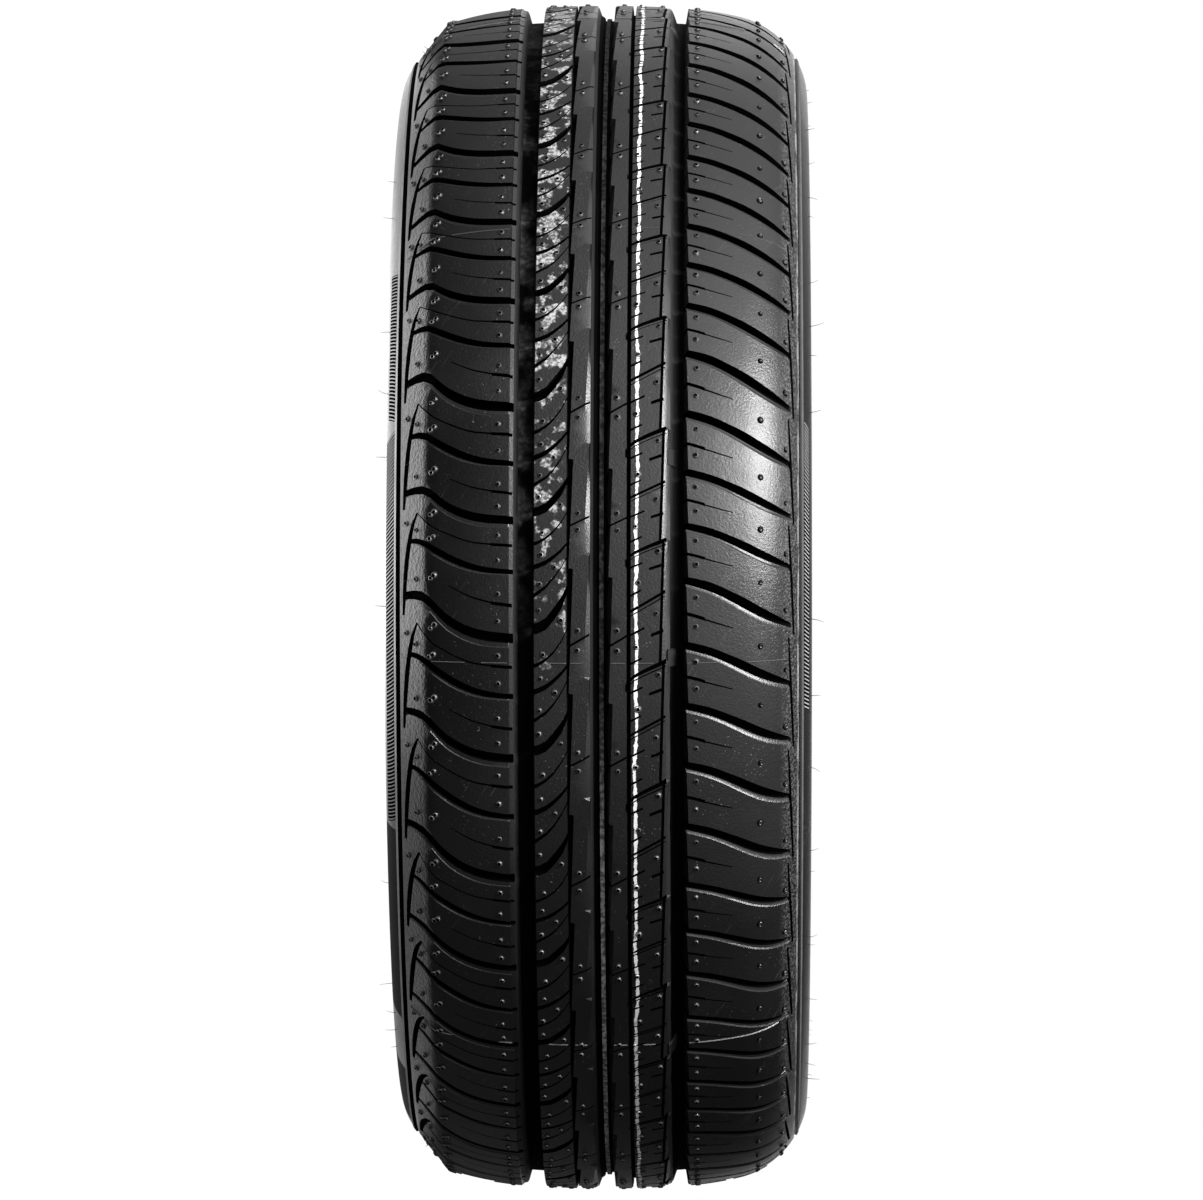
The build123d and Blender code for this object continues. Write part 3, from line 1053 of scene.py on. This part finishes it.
def rubberMaterial():
    look = rubberLook
    material, tree = newMaterial("tyre_rubber")
    place, across, height, cut, outer = placeWires(tree)
    top = 1 - softStep(cut, *look["topAbove"])
    # Painted shade: the rubber darkens and dulls with the depth of a cut
    deep = softStep(cut, *look["deepBelow"])

    # Chalky blots on the second rib, thinning out towards the middle
    sparse = chalkLook["sparse"] * (1 - softStep(height, *chalkLook["sparseReach"]))
    grain = partly(chalkLook["solid"], markNoise(place, "chalkGrain"))
    rib = softBand(across, *markPlaces["chalkRib"]) * softStep(height, *chalkLook["from"])
    chalk = markNoise(place, "blots", sparse) * grain * rib * top * outer * chalkLook["strength"]

    # White paint line round the fifth rib
    above, below = softStep(height, *paintLook["swayAbove"]), softStep(height * -1, *paintLook["swayBelow"])
    middle = paintLook["place"] + (above - below) * paintLook["sway"]
    wander, ragged = (
        noise(place, scale, detail) * wide - wide / 2
        for scale, detail, wide in (paintLook["wander"], paintLook["ragged"])
    )
    off = (across - middle + wander).math("ABSOLUTE") + ragged
    paint = (1 - softStep(off, *paintLook["edge"])) * top * outer

    # Fine slanting scratches on the shoulders
    along = height * (tyreRadius * math.pi / 180)
    slant = scuffLook["slant"]
    slanted = {0: (across * slant + along) * scuffLook["stretch"], 1: across - along * slant}
    streaks = node(tree, "ShaderNodeCombineXYZ", slanted)["Vector"]
    scratched = markNoise(place, "scratched")
    scratched = scratched * softStep(across.math("ABSOLUTE"), *scuffLook["scratchFrom"])
    scratches = markNoise(streaks, "scratches") * scratched * top

    # The left shoulder is scuffed along its run, the right one pebbled, with pale wear towards its edge and
    # a painted highlight along its rim
    scuffed = softBand(across * -1, *markPlaces["scuffs"])
    pebbled = softBand(across, *markPlaces["pebbles"]) * scuffLook["pebbles"]
    runs = node(tree, "ShaderNodeCombineXYZ", {0: across, 1: along * scuffLook["runStretch"]})["Vector"]
    scuffs = noise(place, *scuffLook["grain"]) * scuffLook["grainShare"] * (scuffed + pebbled)
    scuffs = scuffs + noise(runs, *scuffLook["runs"]) * scuffLook["runShare"] * scuffed

    fine = noise(place, *look["fine"])
    masks = {
        "clouds": markNoise(place, "clouds"),
        "fine": fine,
        "specks": markNoise(place, "specks") * markNoise(place, "dusted") * top,
        "edge": softBand(across, *markPlaces["edge"]) * softStep(fine, *look["edgeGrain"]) * top,
        # Painted highlight along the right tread edge's rim
        "rim": softBand(across, *markPlaces["rim"]) * markNoise(runs, "rim"),
        # Painted highlight on nub rims, raised relief and mould lines
        "rubbed": softStep(cut * -1, *look["rubbed"]),
        "scratches": scratches,
        "chalk": chalk,
        "paint": paint,
        "deep": deep,
    }
    colour = mixColour(weighed(look["dustyShares"], masks), look["black"], look["dusty"])
    # Painted shade deep in the cuts
    colour = mixColour(deep, colour, look["shade"])
    colour = mixColour(weighed(look["wearShares"], masks), colour, look["speck"])
    colour = mixColour(chalk, colour, look["chalk"])
    colour = mixColour(paint, colour, look["paint"])
    rough = weighed(look["rougher"], masks) + look["roughness"]
    bump = node(tree, "ShaderNodeBump", {**look["bump"], "Height": fine + scuffs})
    return finishMaterial(material, {"Base Color": colour, "Roughness": rough, "Normal": bump["Normal"]})


# Dust in the grooves, by degrees up; the ridge by its depth
grooveLook = {
    "leftFrom": (-10, 12),
    "leftSolid": 0.4,
    "rightFrom": (-12, 20),
    "rightShare": 0.4,
    "ridgeAbove": (7.2, 7.6),
    "ridgeSolid": 0.25,
    "ridgePale": (8, 30),
}


def paintedShadeMaterial():
    # Near-black painted shade for the cuts, with dust in the outer grooves and a pale ridge along the
    # middle one
    look, dusty = rubberLook, grooveLook
    material, tree = newMaterial("tyre_cuts")
    place, across, height, cut, _ = placeWires(tree)
    ridge = softBand(across, *markPlaces["middleRidge"]) * (1 - softStep(cut, *dusty["ridgeAbove"]))
    grain = markNoise(place, "dustGrain")
    patches = markNoise(place, "dustPatches") * softStep(height, *dusty["leftFrom"])
    left = softBand(across, *markPlaces["leftGroove"]) * patches * partly(dusty["leftSolid"], grain)
    right = softBand(across, *markPlaces["rightGroove"]) * softStep(height, *dusty["rightFrom"])
    right = right * dusty["rightShare"]
    colour = mixColour(left + right, look["shade"], look["dust"])
    bright = mixColour(softStep(height * -1, *dusty["ridgePale"]), look["ridge"], look["ridgeLow"])
    colour = mixColour(ridge * partly(dusty["ridgeSolid"], grain), colour, bright)
    return finishMaterial(material, {"Base Color": colour, **look["cutFinish"]})


# Painted shade: a dull, low-shine finish for the left sidewall's panels
def shadedPanelMaterial():
    material, _ = newMaterial("matt_panel")
    return finishMaterial(material, {"Base Color": rubberLook["dusty"], **rubberLook["panelFinish"]})


def paintedRibbingMaterial():
    # Painted highlight on the ridges, brighter on the left's edge lines, and painted shade between them
    look = rubberLook
    material, tree = newMaterial("side_ribbing")
    place, across, _, cut, _ = placeWires(tree)
    paintedRidgeHighlight = (1 - softStep(cut, *look["ridgeTop"])) * partly(0.5, noise(place, 90, 3))
    edgeHighlight = mixColour(softStep(across, -1, 1), look["edgeLineLeft"], look["edgeLineRight"])
    pale = mixColour(softStep(cut * -1, *look["rubbed"]), look["ribbing"], edgeHighlight)
    colour = mixColour(paintedRidgeHighlight, look["shade"], pale)
    return finishMaterial(material, {"Base Color": colour, **look["ribbingFinish"]})


# A light table, wide skies of light (strength, direction, sharpness) and one long soft box.
# The table's reaches are in metres: down the picture, up it for glowTop and highReach, out for glowReach
studio = {
    "floorSize": 60,
    "floorGap": 0.008,
    "floorNear": 4.2,
    "floorFar": 0.02,
    "floorLow": 0.06,
    "lowReach": (0, 0.2),
    "floorHigh": 0.3,
    "highReach": (0.1, 0.5),
    "glowReach": (0.283, 0.31),
    "glowBand": (-0.27, -0.08, -0.04, 0.12),
    "glowLeast": 0.22,
    "glowTop": (0.22, 0.29, 0.24),
    "glowBottom": (0.09, 0.18, 0.07),
    "ambient": 0.03,
    "skies": ((2.85, (-0.62, -0.64, 0.42), 4), (1.4, (-0.5, 0.85, -0.15), 14), (1.1, (0, 1, 0.05), 60)),
    "boxPlace": (-0.8, -1.42, 1.58),
    "boxAim": (-0.065, -0.28, 0.08),
    "boxAlong": (0.16, 0.75, 0.64),
    "boxSize": (1.3, 0.35),
    "boxPower": 110,
}


def floorMaterial():
    # White to the eye; its glow on the tyre comes mostly from under the shoulder
    material, tree = newMaterial("pale_floor")
    _, x, _, _, radius = placeParts(tree)
    near = 1 - softStep(radius, *studio["glowReach"])
    (topStart, topEnd, more), (lowStart, lowEnd, less) = studio["glowTop"], studio["glowBottom"]
    level = softBand(x, *studio["glowBand"]) + studio["glowLeast"]
    level = level + softStep(x * -1, topStart, topEnd) * more - softStep(x, lowStart, lowEnd) * less
    keys = ("floorFar", "floorLow", "floorHigh", "floorNear")
    far, low, high, bright = (grey(studio[key]) for key in keys)
    plain = mixColour(softStep(x, *studio["lowReach"]), far, low)
    plain = mixColour(softStep(x * -1, *studio["highReach"]), plain, high)
    glow = mixColour(near * level, plain, bright)
    seen = node(tree, "ShaderNodeLightPath")["Is Camera Ray"]
    return finishMaterial(material, {
        "Base Color": grey(0.01), "Roughness": 0.9, "Specular IOR Level": 0.1,
        "Emission Color": mixColour(seen, glow, grey(1)), "Emission Strength": 1,
    })


def placeStudio():
    size = studio["floorSize"]
    mesh = bpy.data.meshes.new("floor")
    z = tyreLow[2] - studio["floorGap"]
    corners = [(-size, -size, z), (size, -size, z), (size, size, z), (-size, size, z)]
    mesh.from_pydata(corners, [], [(0, 1, 2, 3)])
    mesh.materials.append(floorMaterial())
    floor = addObject("floor", mesh)

    world = bpy.data.worlds.new("studio")
    scene.world = world
    world.use_nodes = True
    tree = world.node_tree
    tree.nodes.clear()
    way = node(tree, "ShaderNodeTexCoord")["Generated"]
    light = studio["ambient"]
    for strength, middle, sharpness in studio["skies"]:
        vectors = {0: way, 1: middle}
        facing = node(tree, "ShaderNodeVectorMath", vectors, operation="DOT_PRODUCT")["Value"]
        light = (facing * 0.5 + 0.5) ** sharpness * strength + light
    seen = node(tree, "ShaderNodeLightPath")["Is Camera Ray"]
    strength = seen + (1 - seen) * light
    sky = node(tree, "ShaderNodeBackground", {"Color": grey(1), "Strength": strength})
    node(tree, "ShaderNodeOutputWorld", {"Surface": sky["Background"]})

    data = bpy.data.lights.new("long_soft_box", "AREA")
    data.shape = "RECTANGLE"
    data.size, data.size_y = studio["boxSize"]
    data.energy = studio["boxPower"]
    lamp = addObject("long_soft_box", data)
    spot = Vector(studio["boxPlace"])
    back = (spot - Vector(studio["boxAim"])).normalized()
    along = Vector(studio["boxAlong"])
    along = (along - back * along.dot(back)).normalized()
    turn = Matrix((along, back.cross(along), back)).transposed().to_4x4()
    lamp.matrix_world = Matrix.Translation(spot) @ turn
    lamp.visible_camera = False


placeCamera()
placeStudio()
print("camera and studio placed")

# cuts is the near-black painted shade material of the cuts
rubber, cuts, ribbing = rubberMaterial(), paintedShadeMaterial(), paintedRibbingMaterial()
body = makeRubber((rubber, cuts, ribbing, shadedPanelMaterial()))
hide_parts("tyre")
print("tyre rubber", sum(len(f.vertices) - 2 for f in body.data.polygons), "triangles")

makeNubs((rubber, cuts))
makeHairs((rubber,))
makeMouldLines((rubber,))
makeWearBars((rubber,))
for band in sideRibbing["bands"]:
    makeRibbing(band, (ribbing,))
print("moulding marks and side ribbing made")

scene.view_settings.view_transform = "Standard"
